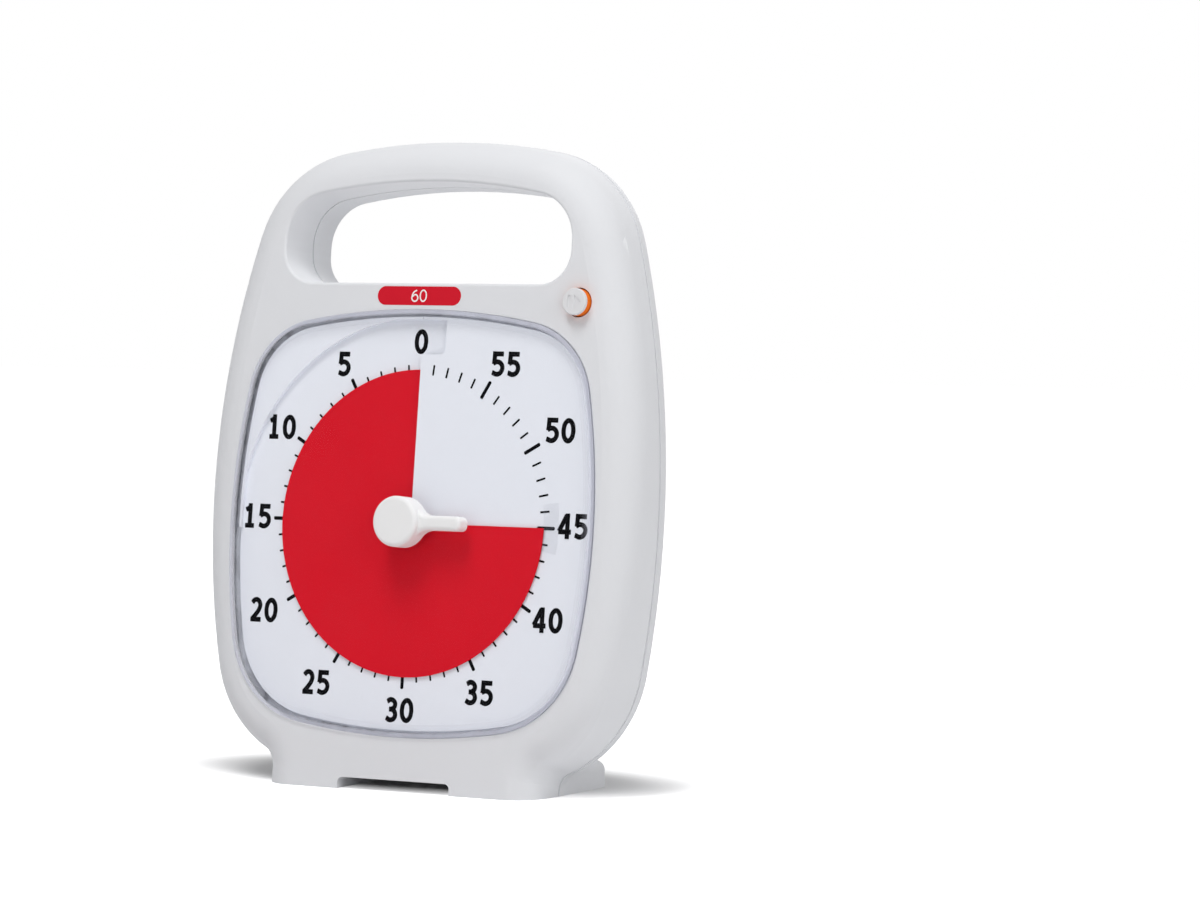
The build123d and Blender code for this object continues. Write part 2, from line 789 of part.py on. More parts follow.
wheel_distance = centre_distance(output_teeth, output_pinion_teeth, output_module)
wheel_x = wheel_distance * cos(radians(wheel_direction))
wheel_y = wheel_distance * sin(radians(wheel_direction))
motor_distance = centre_distance(wheel_teeth, motor_pinion_teeth, wheel_module)
motor_x = wheel_x + motor_distance * cos(radians(motor_direction))
motor_y = wheel_y + motor_distance * sin(radians(motor_direction))
pinion_turn = mesh_turn(wheel_direction, output_teeth, 0, output_pinion_teeth)
motor_turn = mesh_turn(motor_direction, wheel_teeth, pinion_turn, motor_pinion_teeth)


def make_output_gear():
    plan = involute_gear(output_teeth, output_module, gear_backlash) - Circle(shaft_radius + press_gap)
    rim = output_teeth * output_module / 2 - 2.5 * output_module
    web = Circle(rim) - Circle(clutch_radius + 0.5)
    gear = prism(plan, output_gear_front - output_face, output_gear_front)
    return gear - prism(web, output_gear_front - 0.9, output_gear_front)


def make_clutch_washer():
    """The spring washer that lets the knob slip against the gears."""
    low = output_gear_front + 0.02
    return prism(Circle(clutch_radius) - Circle(shaft_radius + press_gap), low, low + clutch_thickness)


def make_intermediate_gear():
    wheel = involute_gear(wheel_teeth, wheel_module, gear_backlash)
    pinion = involute_gear(output_pinion_teeth, output_module, gear_backlash)
    gear = prism(wheel, wheel_front - wheel_face, wheel_front)
    gear = gear + prism(pinion, wheel_front - 0.1, output_gear_front)
    gear = gear - rod(axle_radius + running_fit, -FAR, FAR)
    return Pos(wheel_x, wheel_y) * Rot(0, 0, pinion_turn) * gear


def make_gear_axle():
    axle = rod(axle_radius, cover_back + cover_wall - 1.2, chassis_back + 1.2)
    return Pos(wheel_x, wheel_y) * axle


def make_motor_pinion():
    pinion = involute_gear(motor_pinion_teeth, wheel_module, gear_backlash)
    gear = prism(pinion, wheel_front - wheel_face, wheel_front)
    gear = gear + rod(axle_radius, cover_back - 2, wheel_front + 0.5)
    return Pos(motor_x, motor_y) * Rot(0, 0, motor_turn) * gear


def make_drive_motor():
    """A small geared stepping motor with a round can and two mounting lugs."""
    lugs = Rectangle(2 * motor_radius + 7, 5) + Circle(motor_radius)
    flange = fillet(lugs.vertices().filter_by(lambda v: abs(v.X) > motor_radius + 3), 2.0)
    for side in (-1, 1):
        flange = flange - Pos(side * (motor_radius + 1.7), 0) * Circle(small_screw_radius + 0.1)
    motor = prism(flange, cover_back - 1.0, cover_back)
    can = rod(motor_radius, cover_back - motor_length, cover_back)
    motor = motor + fillet(edges_at(can, cover_back - motor_length), 0.8)
    motor = motor - rod(axle_radius + 0.2, cover_back - 2.4, cover_back)
    return Pos(motor_x, motor_y) * motor


def motor_screw_places():
    return [(motor_x - motor_radius - 1.7, motor_y), (motor_x + motor_radius + 1.7, motor_y)]


def cover_plan(inset):
    left = -output_teeth * output_module / 2 - 3.2
    low = wheel_y - wheel_teeth * wheel_module / 2 - 3.0
    top = -left
    right = motor_x + motor_radius + 3.6
    plan = Pos((left + right) / 2, (low + top) / 2) * Rectangle(right - left - 2 * inset, top - low - 2 * inset)
    return fillet(plan.vertices(), 6.0 - inset)


def cover_screw_places():
    left = -output_teeth * output_module / 2 - 3.2
    right = motor_x + motor_radius + 3.6
    low = wheel_y - wheel_teeth * wheel_module / 2 - 3.0
    return [(left - 2.1, 0), (right + 2.1, 8.0), (left - 2.1, low + 8.0)]


def make_gear_cover():
    cover = prism(cover_plan(0), cover_back, chassis_back) - prism(cover_plan(cover_wall), cover_back + cover_wall,
                                                                   chassis_back)
    ears = None
    for x, y in cover_screw_places():
        ear = Pos(x, y) * Circle(3.0)
        ears = ear if ears is None else ears + ear
    cover = cover + prism(ears - cover_plan(cover_wall / 2), chassis_back - 1.6, chassis_back)
    for x, y in cover_screw_places():
        cover = cover - Pos(x, y) * rod(small_screw_radius + 0.15, -FAR, FAR)
    for x, y in motor_screw_places():
        cover = cover - Pos(x, y) * rod(small_screw_radius + screw_fit, -FAR, FAR)
    cover = cover - rod(shaft_radius + running_fit, -FAR, FAR)
    cover = cover - Pos(motor_x, motor_y) * rod(axle_radius + moving_gap, -FAR, FAR)
    boss = rod(axle_radius + 1.6, cover_back + 0.1, wheel_front - wheel_face - moving_gap)
    cover = cover + Pos(wheel_x, wheel_y) * boss
    return cover - Pos(wheel_x, wheel_y) * rod(axle_radius + press_gap, cover_back + cover_wall - 1.2, FAR)


def make_chassis():
    """The moulded frame behind the disc that carries the gears."""
    inset = lens_fit + lens_wall + dial_edge_gap + 1.2
    flange_back = dial_flange_front - flange_thickness
    plate = window_plan(-flange_overlap)
    rim = plate - window_plan(inset) + (frame_ears() - window_plan(0))
    chassis = prism(plate, chassis_back, chassis_front) + prism(rim, chassis_back, flange_back)
    hub_low = hub_swing()[0]
    chassis = chassis + rod(bearing_radius, chassis_back, hub_low - moving_gap)
    for angle in range(0, 360, 60):
        window = Pos(36, 0) * SlotOverall(18, 10)
        if angle not in (240, 300):
            chassis = chassis - Rot(0, 0, angle) * prism(window, -FAR, FAR)
    pad = Pos(wheel_x, wheel_y) * rod(axle_radius + 2, chassis_back, chassis_front + 0.6)
    chassis = chassis + pad
    chassis = chassis - Pos(wheel_x, wheel_y) * rod(axle_radius + press_gap, -FAR, chassis_back + 1.2)
    chassis = chassis - rod(shaft_radius + running_fit, -FAR, FAR)
    for x, y in cover_screw_places():
        chassis = chassis - Pos(x, y) * rod(small_screw_radius + screw_fit, -FAR, FAR)
    for x, y in frame_screw_places():
        chassis = chassis - Pos(x, y) * rod(screw_shank_radius + 0.2, -FAR, FAR)
    return chassis


def screw(shank_r, head_r, head_height, length):
    """A pan-head screw under the plane Z = 0, its head behind it, with a cross recess."""
    head = rod(head_r, -head_height, 0)
    head = fillet(edges_at(head, -head_height), head_height * 0.45)
    cross = Rectangle(head_r * 1.1, head_r * 0.28) + Rectangle(head_r * 0.28, head_r * 1.1)
    head = head - prism(cross, -head_height, -head_height * 0.4)
    return head + rod(shank_r, -0.1, length)


def screws(places, seat, shank_r, head_r, head_height, length):
    """Equal screws driven towards the front, their heads against the plane at seat."""
    single = screw(shank_r, head_r, head_height, length)
    return Compound([Pos(x, y, seat) * single for x, y in places])


def make_start_button():
    """The white cap; its mark stands for start and pause."""
    top = shell_front + button_rise
    cap = rod(button_radius, top - button_cap_height, top)
    cap = fillet(edges_at(cap, top), 0.35)
    bar = Pos(-1.5 * mark_bar_width, 0) * SlotOverall(mark_height, mark_bar_width, rotation=90)
    play = make_face(Polyline((0, mark_height / 2), (0, -mark_height / 2), (mark_reach, 0), close=True))
    cap = cap - prism(bar, top - mark_depth, FAR) - prism(play, top - mark_depth, FAR)
    return Pos(button_x, button_y) * cap


def stem_low():
    """The stem's lower end; a full press brings it to just above the switch."""
    return -board_depth + switch_height + button_travel + moving_gap


def make_button_stem():
    """The orange body under the cap that shows while the button is out, with its catch."""
    top = shell_front + button_rise - button_cap_height
    low = stem_low()
    stem = rod(button_radius, low, top - press_gap)
    stem = stem + rod(button_radius + 1.2, low + 0.5, shell_inner_front - moving_gap)
    stem = stem - rod(plunger_radius + press_gap, low - 1, low + 1.2)
    return Pos(button_x, button_y) * stem


def make_switch_plunger():
    low = -board_depth + button_travel + 0.6
    return Pos(button_x, button_y) * rod(plunger_radius, low, stem_low() + 1.2 - press_gap)


def make_push_switch():
    body = prism(Rectangle(switch_size, switch_size), -board_depth, -board_depth + switch_height)
    body = fillet(body.edges().filter_by(Axis.Z), 0.5)
    body = body - rod(plunger_radius + running_fit, -board_depth + 0.3, FAR)
    return Pos(button_x, button_y) * body


def make_circuit_board():
    plan = Pos((board_left + board_right) / 2, (board_bottom + board_top) / 2) * Rectangle(
        board_right - board_left, board_top - board_bottom)
    plan = plan + Pos((board_ear_left + board_right) / 2, (board_top + board_ear_top) / 2) * Rectangle(
        board_right - board_ear_left, board_ear_top - board_top + 1)
    board = prism(plan, -board_depth - board_thickness, -board_depth)
    for x, y in board_post_places():
        board = board - Pos(x, y) * rod(small_screw_radius + 0.15, -FAR, FAR)
    return board


def make_board_screws():
    """The screws that hold the board, driven from the front into the rear shell's posts."""
    flip = Pos(0, 0, -board_depth + press_gap) * Rot(180, 0, 0)
    single = flip * screw(small_screw_radius, small_head_radius, small_head_height, board_screw_length)
    return Compound([Pos(x, y) * single for x, y in board_post_places()])


def make_controller_chips():
    """The parts that stand on the board: controller, crystal and capacitor."""
    seat = -board_depth + press_gap
    low = (Align.CENTER, Align.CENTER, Align.MIN)
    chip = Pos(volume_x, board_top - 6.2, seat) * Box(chip_length, chip_width, chip_height, align=low)
    crystal = Pos(button_x - 5, board_top - 12.2, seat) * Box(chip_length, chip_width / 2, chip_height, align=low)
    can = Pos(button_x - 4.5, board_bottom + 6, seat) * Cylinder(can_radius, can_height, align=low)
    return Compound([chip, crystal, can])


def make_speaker():
    """The round sounder behind the grille: basket, magnet and a shallow cone."""
    seat = shell_inner_back + 0.02
    basket = rod(speaker_radius, seat, seat + speaker_rim_height)
    cone = Pos(0, 0, seat) * Cone(speaker_radius - 2, 5.0, 2.0, align=(Align.CENTER, Align.CENTER, Align.MIN))
    magnet = rod(speaker_magnet_radius, seat + speaker_rim_height, seat + speaker_rim_height + speaker_magnet_height)
    return Pos(speaker_x, speaker_y) * (basket - cone + magnet)


def pot_back():
    return -board_depth - board_thickness - pot_height


def make_volume_pot():
    body = prism(Rectangle(pot_size, pot_size), pot_back(), -board_depth - board_thickness - 0.02)
    body = fillet(body.edges().filter_by(Axis.Z), 1.0)
    body = body - rod(volume_shaft_radius - 0.6 + running_fit, -FAR, -board_depth - board_thickness - 1.0)
    return Pos(volume_x, volume_y) * body


def make_volume_dial():
    """The ribbed wheel in the back with its pointer groove and its shaft."""
    front = volume_floor() - moving_gap
    back = front - volume_thickness
    wheel = rod(volume_radius - 0.5, back, front)
    rib = rod(0.55, back, front)
    for k in range(volume_ribs):
        wheel = wheel + Rot(0, 0, 360.0 * k / volume_ribs) * Pos(volume_radius - 0.55, 0) * rib
    groove = Pos(0, volume_radius / 2, back + 0.4) * Box(1.2, volume_radius, 0.9)
    wheel = wheel - groove
    shaft = rod(volume_shaft_radius, front - 0.1, pot_back() - moving_gap)
    pin = rod(volume_shaft_radius - 0.6, front - 0.1, -board_depth - board_thickness - 1.3)
    return Pos(volume_x, volume_y) * (wheel + shaft + pin)


contact_x = bay_half_length - contact_thickness / 2 - 0.05
cell_x = contact_gap + cell_nub_length + cell_length / 2 + contact_thickness / 2 - contact_x


def make_battery_cell():
    """One AA cell lying across the timer."""
    cell = Cylinder(cell_radius, cell_length)
    cell = fillet(cell.edges(), 0.6)
    cell = cell + Pos(0, 0, cell_length / 2 + cell_nub_length / 2 - 0.1) * Cylinder(
        cell_nub_radius, cell_nub_length + 0.2)
    place = Pos(cell_x, cell_depth, cell_height) * Rot(0, -90, 0)
    return UNSTAND * (place * cell)


def make_contact_plate():
    """The positive contact at the cell's nub."""
    plate = Box(contact_thickness, 11, 11)
    plate = fillet(plate.edges().filter_by(Axis.X), 1.5)
    return UNSTAND * (Pos(-contact_x, cell_depth, cell_height) * plate)


def make_contact_spring():
    """The negative contact: a tapered spring on its plate."""
    plate = Box(contact_thickness, 11, 11)
    plate = fillet(plate.edges().filter_by(Axis.X), 1.5)
    end = cell_x + cell_length / 2 + contact_gap + spring_wire
    length = contact_x - spring_wire - end
    path = Helix(pitch=length / spring_turns, height=length, radius=4.2)
    wire = sweep(Plane(origin=path @ 0, z_dir=path % 0) * Circle(spring_wire), path=path, is_frenet=True)
    spring = Pos(contact_x, cell_depth, cell_height) * plate
    return UNSTAND * (spring + Pos(end, cell_depth, cell_height) * Rot(0, 90, 0) * wire)


def make_battery_door():
    """The lid over the battery, hooked at its lower edge, with finger ribs."""
    front = base_back - door_thickness
    half_w = door_half_width
    low = cell_height - door_half_height
    plate = Pos(0, (front + base_back) / 2, cell_height) * Box(2 * half_w, door_thickness, 2 * door_half_height)
    plate = fillet(plate.edges().filter_by(Axis.Y), 1.0)
    for k in range(5):
        rib = Pos(0, base_back - 0.1, cell_height + 6.5 - 1.8 * k) * Box(14, 0.6, 0.7)
        plate = plate - rib
    for side in (-1, 1):
        hook = Pos(side * hook_x, front - hook_thickness / 2 + 0.2, low - hook_reach / 2 + 1.4) * Box(
            2 * hook_half_width, hook_thickness, hook_reach + 2.8)
        plate = plate + hook
    return UNSTAND * plate


def make_parts():
    """Every piece by its node name, still in the bench frame."""
    return {
        "front_shell": make_front_shell(),
        "rear_shell": make_rear_shell(),
        "window_lens": make_lens(),
        "dial_plate": make_dial(),
        "red_disc": make_red_disc(),
        "disc_hub": make_disc_hub(),
        "lead_tab": make_lead_tab(),
        "setting_knob": make_setting_knob(),
        "knob_shaft": make_knob_shaft(),
        "movement_frame": make_chassis(),
        "gear_cover": make_gear_cover(),
        "output_gear": make_output_gear(),
        "clutch_washer": make_clutch_washer(),
        "intermediate_gear": make_intermediate_gear(),
        "gear_axle": make_gear_axle(),
        "motor_pinion": make_motor_pinion(),
        "drive_motor": make_drive_motor(),
        "motor_screws": screws(motor_screw_places(), cover_back - 1.02, small_screw_radius,
                               small_head_radius, small_head_height, motor_screw_length),
        "cover_screws": screws(cover_screw_places(), chassis_back - 1.62, small_screw_radius,
                               small_head_radius, small_head_height, cover_screw_length),
        "frame_screws": screws(frame_screw_places(), chassis_back - 0.02, screw_shank_radius,
                               screw_head_radius, screw_head_height, -chassis_back + shell_inner_front + 0.4),
        "shell_screws": screws(post_places(), -seam_depth - post_shelf - press_gap, screw_shank_radius,
                               screw_head_radius, screw_head_height, screw_length),
        "start_button": make_start_button(),
        "button_stem": make_button_stem(),
        "switch_plunger": make_switch_plunger(),
        "push_switch": make_push_switch(),
        "circuit_board": make_circuit_board(),
        "board_components": make_controller_chips(),
        "board_screws": make_board_screws(),
        "speaker": make_speaker(),
        "volume_pot": make_volume_pot(),
        "volume_dial": make_volume_dial(),
        "battery_cell": make_battery_cell(),
        "contact_plate": make_contact_plate(),
        "contact_spring": make_contact_spring(),
        "battery_door": make_battery_door(),
    }


def main():
    parts = make_parts()
    standing = {name: STAND * piece for name, piece in parts.items()}
    box = Compound([piece for piece in standing.values()]).bounding_box()
    shift = Pos(0, -(box.min.Y + box.max.Y) / 2, 0)
    os.makedirs("parts", exist_ok=True)
    for name, piece in standing.items():
        export_step(shift * piece, "parts/" + name + ".step")
    print("size", box.size, "shift", shift.position)
    for name, place in (("dial centre", (0, 0)), ("wheel", (wheel_x, wheel_y)), ("motor", (motor_x, motor_y)),
                        ("button", (button_x, button_y)), ("volume", (volume_x, volume_y))):
        print(name, (shift * STAND * Pos(place[0], place[1], 0)).position)
    print("door hinge", (shift * Pos(0, base_back, cell_height - door_half_height - door_gap / 2)).position)


main()
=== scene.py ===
"""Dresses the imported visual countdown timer: finishes, dial print, label, stage and camera."""

import json
import math

import bpy
from bpy.props import FloatProperty, FloatVectorProperty, IntProperty, PointerProperty
from bpy.types import Operator, Panel, PropertyGroup
from mathutils import Matrix, Vector


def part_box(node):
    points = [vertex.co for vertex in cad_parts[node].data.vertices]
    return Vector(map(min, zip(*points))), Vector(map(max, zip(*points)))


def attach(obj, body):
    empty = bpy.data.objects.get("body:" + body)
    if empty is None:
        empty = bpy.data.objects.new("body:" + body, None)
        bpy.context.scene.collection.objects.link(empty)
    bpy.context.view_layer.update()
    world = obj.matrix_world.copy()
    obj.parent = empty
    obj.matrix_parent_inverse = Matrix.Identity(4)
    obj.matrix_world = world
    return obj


bl_info = {
    "name": "Visual countdown timer",
    "version": (1, 0, 0),
    "blender": (4, 5, 0),
    "location": "3D View > Sidebar > Timer",
    "description": "Finishes, dial print, label, stage and camera for a visual countdown timer",
    "category": "Object",
}

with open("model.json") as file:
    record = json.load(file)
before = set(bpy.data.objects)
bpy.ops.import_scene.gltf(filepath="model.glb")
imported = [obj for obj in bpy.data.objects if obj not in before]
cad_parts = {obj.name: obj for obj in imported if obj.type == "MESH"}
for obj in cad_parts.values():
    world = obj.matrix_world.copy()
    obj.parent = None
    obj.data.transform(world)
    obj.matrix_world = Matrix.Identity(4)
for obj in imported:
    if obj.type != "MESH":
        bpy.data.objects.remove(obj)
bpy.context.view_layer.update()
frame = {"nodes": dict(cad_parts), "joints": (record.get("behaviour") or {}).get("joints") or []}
MM = 0.001
QUARTER_TURN = 90.0
FULL_TURN = 360.0
WHITE = (1.0, 1.0, 1.0)

# The dial stands in its own plane: U to the right, V up the face, N out of the face.
# Lengths on it are written in millimetres from the dial's centre.
knob_joint = next(joint for joint in frame["joints"] if joint["name"] == "knob_turn")
FACE_NORMAL = Vector(knob_joint["axis"]).normalized()
FACE_RIGHT = Vector((1.0, 0.0, 0.0))
FACE_UP = FACE_NORMAL.cross(FACE_RIGHT)
FACE_AXES = Matrix((FACE_RIGHT, FACE_UP, FACE_NORMAL)).transposed()
DIAL_CENTRE = Vector(knob_joint["pos_m"])
FACE = Matrix.Translation(DIAL_CENTRE) @ FACE_AXES.to_4x4()


def colour(red, green, blue):
    """A screen colour, 0 to 255 per channel, as the linear colour that Blender's sockets hold."""
    def channel(value):
        value /= 255.0
        return value / 12.92 if value <= 0.04045 else ((value + 0.055) / 1.055) ** 2.4
    return (channel(red), channel(green), channel(blue))


def tint(rgb, factor):
    """A colour made lighter or darker."""
    return tuple(min(1.0, value * factor) for value in rgb)


# ---------------------------------------------------------------- settings


class StageSettings(PropertyGroup):
    """The camera, the lamps and the floor."""
    camera_place: FloatVectorProperty(
        name="Camera place", description="Where the camera stands, seen from the dial's centre",
        default=(0.66434, -1.06875, 0.08110), subtype="TRANSLATION", unit="LENGTH")
    camera_heading: FloatProperty(
        name="Heading", description="Turn of the camera to the left of straight ahead",
        default=math.radians(29.496), subtype="ANGLE")
    camera_pitch: FloatProperty(
        name="Pitch", description="Upward tilt of the camera",
        default=math.radians(-2.773), subtype="ANGLE")
    camera_roll: FloatProperty(
        name="Roll", description="Turn of the camera about its own axis",
        default=math.radians(-0.113), subtype="ANGLE")
    lens: FloatProperty(
        name="Lens", description="Focal length of the camera, in millimetres", default=137.53)
    floor_size: FloatProperty(
        name="Floor size", description="Length of the floor's side", default=6.0, unit="LENGTH")
    floor_colour: FloatVectorProperty(
        name="Floor colour", description="Colour of the floor",
        default=colour(238, 238, 239), subtype="COLOR")
    # The shadow's patch glows less than the floor round it and is painted darker: a painted shadow
    # under the timer's real one.
    shadow_place: FloatVectorProperty(
        name="Shadow place", description="Middle of the patch of floor that shows the shadow",
        default=(-0.012, 0.018, 0.0), subtype="TRANSLATION", unit="LENGTH")
    shadow_reach: FloatVectorProperty(
        name="Shadow reach", description="How far that patch reaches along X, Y and Z",
        default=(0.094, 0.044, 1.0), subtype="TRANSLATION", unit="LENGTH")
    key_power: FloatProperty(
        name="Key lamp", description="Power of the lamp overhead", default=5.4, unit="POWER")
    fill_power: FloatProperty(
        name="Fill lamp", description="Power of the large lamp on the right",
        default=3.6, unit="POWER")
    back_power: FloatProperty(
        name="Back lamp", description="Power of the lamp behind", default=2.6, unit="POWER")
    ambient: FloatProperty(
        name="Ambient", description="Strength of the even light from all round", default=0.38)


class ShellSettings(PropertyGroup):
    """The white moulded shells and the lens."""
    shell_colour: FloatVectorProperty(
        name="Shell", description="Colour of the moulded shells",
        default=colour(224, 225, 228), subtype="COLOR")
    grain_size: FloatProperty(
        name="Grain", description="Size of the mould's fine texture",
        default=0.35 * MM, unit="LENGTH")
    lens_tint: FloatVectorProperty(
        name="Lens", description="Tint of the clear lens at its rim",
        default=colour(214, 216, 230), subtype="COLOR")


class DialSettings(PropertyGroup):
    """The dial, what is printed on it, and the disc."""
    dial_colour: FloatVectorProperty(
        name="Dial", description="Colour of the dial",
        default=colour(234, 237, 245), subtype="COLOR")
    ink_colour: FloatVectorProperty(
        name="Ink", description="Colour of the marks and numerals",
        default=colour(4, 4, 6), subtype="COLOR")
    disc_colour: FloatVectorProperty(
        name="Disc", description="Colour of the disc",
        default=colour(217, 12, 34), subtype="COLOR")
    ramp_pitch: FloatProperty(
        name="Pitch", description="Rise of the dial's ramp in one turn, in millimetres",
        default=1.5)
    numeral_height: FloatProperty(
        name="Numeral height", description="Height of the numerals, in millimetres", default=6.9)
    numeral_stroke: FloatProperty(
        name="Numeral stroke", description="Width of the numerals' strokes, in millimetres",
        default=1.36)
    mark_start: FloatProperty(
        name="Mark start", description="Inner radius of the long marks, in millimetres",
        default=40.1)
    mark_end: FloatProperty(
        name="Mark end", description="Outer radius of the long marks, in millimetres",
        default=45.6)
    minutes: IntProperty(
        name="Minutes", description="Minutes in a full turn of the dial", default=60)


class LabelSettings(PropertyGroup):
    """The pill above the window and the button's orange body."""
    pill_length: FloatProperty(
        name="Pill length", description="Length of the label, in millimetres", default=26.9)
    pill_height: FloatProperty(
        name="Pill height", description="Height of the label, in millimetres", default=5.2)
    pill_colour: FloatVectorProperty(
        name="Pill", description="Colour of the label",
        default=colour(204, 31, 47), subtype="COLOR")
    orange: FloatVectorProperty(
        name="Button body", description="Colour of the button's body under its cap",
        default=colour(246, 122, 40), subtype="COLOR")


# ---------------------------------------------------------------- finishes


class Value:
    """A node's output on which Python's operators add Math nodes."""

    def __init__(self, shading, socket):
        self.shading = shading
        self.socket = socket

    def math(self, operation, *others):
        return self.shading.math(operation, self, *others)

    def __add__(self, other):
        return self.math("ADD", other)

    def __mul__(self, other):
        return self.math("MULTIPLY", other)

    def __rsub__(self, other):
        return self.shading.math("SUBTRACT", other, self)

    def step(self, low, high):
        """0 below low, 1 above high, and smooth between."""
        ranged = self.shading.node(
            "ShaderNodeMapRange", {"interpolation_type": "SMOOTHSTEP", "clamp": True},
            {"Value": self, "From Min": low, "From Max": high, "To Min": 0.0, "To Max": 1.0})
        return ranged[0]


class Shading:
    """One node tree while its nodes are added."""

    def __init__(self, tree, output_kind):
        self.tree = tree
        self.tree.nodes.clear()
        self.output = self.tree.nodes.new(output_kind)

    def node(self, kind, settings=None, inputs=None):
        """Adds a node with its settings and what its sockets get, and gives its live outputs."""
        made = self.tree.nodes.new(kind)
        for name, value in (settings or {}).items():
            setattr(made, name, value)
        for key, value in (inputs or {}).items():
            self.feed(made.inputs[key], value)
        return [Value(self, socket) for socket in made.outputs if socket.enabled]

    def feed(self, socket, value):
        if isinstance(value, Value):
            self.tree.links.new(value.socket, socket)
        elif socket.type == "RGBA":
            socket.default_value = (*value[:3], 1.0)
        else:
            socket.default_value = value

    def show(self, shader):
        """Makes this shader the tree's surface."""
        self.tree.links.new(shader.socket, self.output.inputs["Surface"])

    def math(self, operation, *values):
        return self.node("ShaderNodeMath", {"operation": operation}, dict(enumerate(values)))[0]

    def vector_math(self, operation, *values):
        settings = {"operation": operation}
        return self.node("ShaderNodeVectorMath", settings, dict(enumerate(values)))[0]

    def place(self):
        """Where a point of the object is, in its own metres."""
        return self.node("ShaderNodeTexCoord")[3]

    def stretched(self, scale):
        """The place times a scale per axis: a pattern on it is long where the scale is small."""
        settings = {"vector_type": "POINT"}
        inputs = {"Vector": self.place(), "Scale": scale}
        return self.node("ShaderNodeMapping", settings, inputs)[0]

    def noise(self, size, detail=2.0, where=None):
        """Noise from about 0 to 1 whose features are about this size, in metres."""
        inputs = {"Vector": where or self.place(), "Scale": 1.0 / size, "Detail": detail}
        return self.node("ShaderNodeTexNoise", None, inputs)[0]

    def mix(self, factor, first, second):
        """A colour between two colours."""
        inputs = {0: factor, 6: first, 7: second}
        return self.node("ShaderNodeMix", {"data_type": "RGBA"}, inputs)[0]

    def mix_shader(self, factor, first, second):
        return self.node("ShaderNodeMixShader", None, {0: factor, 1: first, 2: second})[0]

    def bump(self, height, distance):
        return self.node("ShaderNodeBump", None, {"Height": height, "Distance": distance})[0]

    def seen(self):
        """1 for rays from the camera, a gloss or a clear piece, and 0 for light on things."""
        path = self.tree.nodes.new("ShaderNodeLightPath")
        camera, gloss, through = (Value(self, path.outputs[name]) for name in (
            "Is Camera Ray", "Is Glossy Ray", "Is Transmission Ray"))
        return (camera + gloss + through).math("MINIMUM", 1.0)


class Finish(Shading):
    """One material while its nodes are added."""

    def __init__(self, name):
        self.material = bpy.data.materials.new(name)
        self.material.use_nodes = True
        super().__init__(self.material.node_tree, "ShaderNodeOutputMaterial")

    def surface(self, **sockets):
        """The Principled shader, given by its sockets' names with _ for a blank."""
        inputs = {name.replace("_", " "): value for name, value in sockets.items()}
        self.show(self.node("ShaderNodeBsdfPrincipled", None, inputs)[0])
        return self.material


def moulded(name, rgb, roughness=0.45, grain=0.35 * MM, depth=0.006 * MM, cloud=0.03):
    """Moulded plastic: fine grain of the mould, faint flow clouds and a slightly uneven gloss."""
    cloud_size = 18.0 * MM
    cloud_gloss, grain_gloss, middle_gloss = 0.10, 0.06, 0.08
    finish = Finish(name)
    fine = finish.noise(grain)
    clouds = finish.noise(cloud_size, detail=3.0)
    base = finish.mix(clouds, tint(rgb, 1.0 - cloud), tint(rgb, 1.0 + cloud * 0.5))
    rough = clouds * cloud_gloss + fine * grain_gloss + (roughness - middle_gloss)
    return finish.surface(
        Base_Color=base, Roughness=rough, Specular_IOR_Level=0.02,
        Normal=finish.bump(fine, depth))


def metal(name, rgb, roughness=0.3, stretch=(1.0, 1.0, 12.0)):
    """Turned or drawn metal: fine lines in one direction and duller patches."""
    line_size, line_depth, patch_size = 0.25 * MM, 0.004 * MM, 3.0 * MM
    line_gloss, patch_gloss, middle_gloss = 0.12, 0.14, 0.12
    finish = Finish(name)
    lines = finish.noise(line_size, where=finish.stretched(stretch))
    patches = finish.noise(patch_size, detail=3.0)
    base = finish.mix(patches, tint(rgb, 0.90), tint(rgb, 1.05))
    rough = lines * line_gloss + patches * patch_gloss + (roughness - middle_gloss)
    return finish.surface(
        Base_Color=base, Roughness=rough, Metallic=1.0, Normal=finish.bump(lines, line_depth))


def clear_lens(name, rgb):
    """Clear sheet: nearly nothing on the flat, faintly tinted where the rim slopes or stands on
    edge, and pale on the brim, which is the sloping band next to the shell."""
    # Where the rim starts to slope and to stand on edge, as cosines of its lean.
    sloping = (0.95, 0.985)
    standing = (0.30, 0.70)
    # Where the brim fades in and out, as heights over the dial's centre.
    brim_bottom = (1.2 * MM, 1.5 * MM)
    brim_top = (1.9 * MM, 2.2 * MM)
    smear_size = 25.0 * MM

    finish = Finish(name)
    normal = finish.node("ShaderNodeNewGeometry")[1]
    flatness = finish.vector_math("DOT_PRODUCT", normal, FACE_NORMAL).math("ABSOLUTE")
    slope = 1.0 - flatness.step(*sloping)
    edge = 1.0 - flatness.step(*standing)
    offset = finish.vector_math("SUBTRACT", finish.place(), DIAL_CENTRE)
    height = finish.vector_math("DOT_PRODUCT", offset, FACE_NORMAL)
    brim = height.step(*brim_bottom) * (1.0 - height.step(*brim_top))
    smear = finish.noise(smear_size)
    alpha = slope * 0.05 + slope * brim * 0.55 + edge * 0.04 + smear * 0.005 + 0.002
    return finish.surface(
        Base_Color=rgb, Roughness=smear * 0.05 + 0.10, Specular_IOR_Level=0.3, Alpha=alpha)


def clear_tab(name, rgb):
    """The thin clear tab on the disc's leading edge."""
    finish = Finish(name)
    haze = finish.noise(2.0 * MM)
    return finish.surface(Base_Color=rgb, Roughness=haze * 0.1 + 0.15, Alpha=haze * 0.02 + 0.02)


